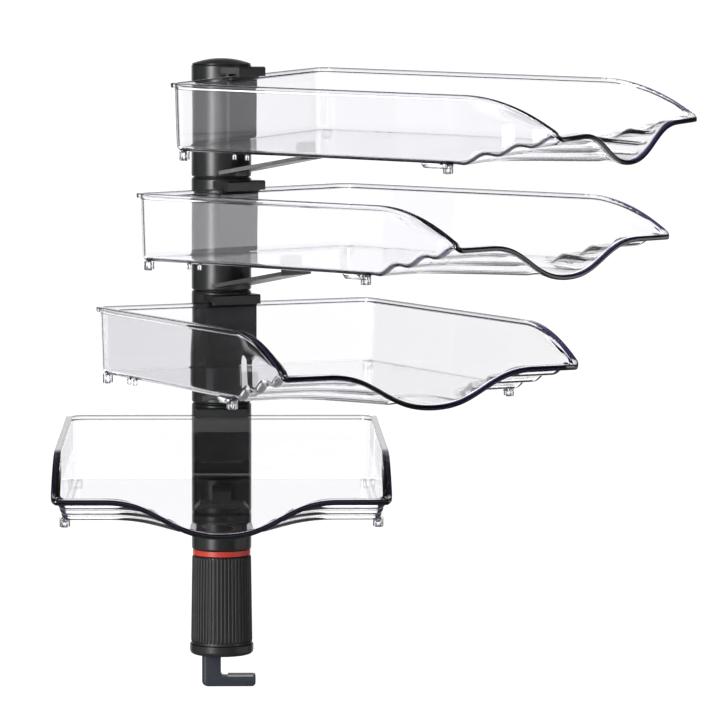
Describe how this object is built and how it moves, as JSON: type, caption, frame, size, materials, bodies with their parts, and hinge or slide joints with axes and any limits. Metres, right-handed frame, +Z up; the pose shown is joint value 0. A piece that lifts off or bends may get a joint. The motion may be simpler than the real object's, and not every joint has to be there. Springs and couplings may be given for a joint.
{
  "type": "rotating desk rack",
  "caption": "Column that clamps to a desk edge and carries clear letter trays, each on its own swivelling column segment.",
  "frame": {"origin": "column axis, on the face of the foot that stands on the desk top", "axes": "+Z up along the column, +X the way the hook's foot points, -Y the way the lowest tray points at rest"},
  "size_m": [0.5324, 0.5046, 0.54],
  "materials": {
    "black_plastic": "satin moulded",
    "grip_plastic": "matt, ribbed",
    "red_plastic": "satin",
    "clear_tray": "clear, polished",
    "blade_paint": "satin powder coat",
    "hook_paint": "blue-grey powder coat",
    "grey_pad": "matt",
    "dark_rubber": "matt",
    "washer_black": "matt",
    "acetal": "natural",
    "steel": "drawn tube",
    "zinc": "zinc plated",
    "brass": "machined"
  },
  "bodies": {
    "column": {"mast_tube": "steel", "clamp_tube": "steel", "base_collar": "black_plastic", "red_ring": "red_plastic", "clamp_foot": "black_plastic", "desk_pad": "dark_rubber", "mast_plug": "zinc", "retaining_washer": "zinc", "cap_screw": "zinc", "collar_grub_screws": "zinc", "foot_pins": "zinc"},
    "grip": {"fluted_grip": "grip_plastic"},
    "hook": {"hook_arm": "hook_paint", "hook_pad": "grey_pad", "drive_key": "brass", "key_screw": "zinc"},
    "swivel_1": {"carrier_1": "black_plastic", "upper_bush_1": "acetal", "lower_bush_1": "acetal", "rim_clip_1": "black_plastic", "clip_screws_1": "zinc", "support_blade_1": "blade_paint", "blade_screws_1": "zinc", "rest_pad_1": "dark_rubber", "seam_washer_1": "washer_black", "tray_1": "clear_tray", "top_cap": "black_plastic"},
    "swivel_2": {"carrier_2": "black_plastic", "upper_bush_2": "acetal", "lower_bush_2": "acetal", "rim_clip_2": "black_plastic", "clip_screws_2": "zinc", "support_blade_2": "blade_paint", "blade_screws_2": "zinc", "rest_pad_2": "dark_rubber", "seam_washer_2": "washer_black", "tray_2": "clear_tray"},
    "swivel_3": {"carrier_3": "black_plastic", "upper_bush_3": "acetal", "lower_bush_3": "acetal", "rim_clip_3": "black_plastic", "clip_screws_3": "zinc", "support_blade_3": "blade_paint", "blade_screws_3": "zinc", "rest_pad_3": "dark_rubber", "seam_washer_3": "washer_black", "tray_3": "clear_tray"},
    "swivel_4": {"carrier_4": "black_plastic", "upper_bush_4": "acetal", "lower_bush_4": "acetal", "rim_clip_4": "black_plastic", "clip_screws_4": "zinc", "support_blade_4": "blade_paint", "blade_screws_4": "zinc", "rest_pad_4": "dark_rubber", "seam_washer_4": "washer_black", "tray_4": "clear_tray"}
  },
  "joints": [
    {"name": "tray_1_swivel", "type": "hinge", "parent": "column", "child": "swivel_1", "pos_m": [0, 0, 0.4106], "axis": [0, 0, 1], "continuous": true},
    {"name": "tray_2_swivel", "type": "hinge", "parent": "column", "child": "swivel_2", "pos_m": [0, 0, 0.314], "axis": [0, 0, 1], "continuous": true},
    {"name": "tray_3_swivel", "type": "hinge", "parent": "column", "child": "swivel_3", "pos_m": [0, 0, 0.2174], "axis": [0, 0, 1], "continuous": true},
    {"name": "tray_4_swivel", "type": "hinge", "parent": "column", "child": "swivel_4", "pos_m": [0, 0, 0.1208], "axis": [0, 0, 1], "continuous": true},
    {"name": "grip_turn", "type": "hinge", "parent": "column", "child": "grip", "pos_m": [0, 0, 0.046], "axis": [0, 0, 1], "range_deg": [-900, 1800]},
    {"name": "hook_slide", "type": "slide", "parent": "column", "child": "hook", "axis": [0, 0, 1], "range_m": [-0.03, 0.015]}
  ],
  "couplings": [
    {"joint": "hook_slide", "follows": "grip_turn", "m_per_rad": -0.00095493}
  ]
}
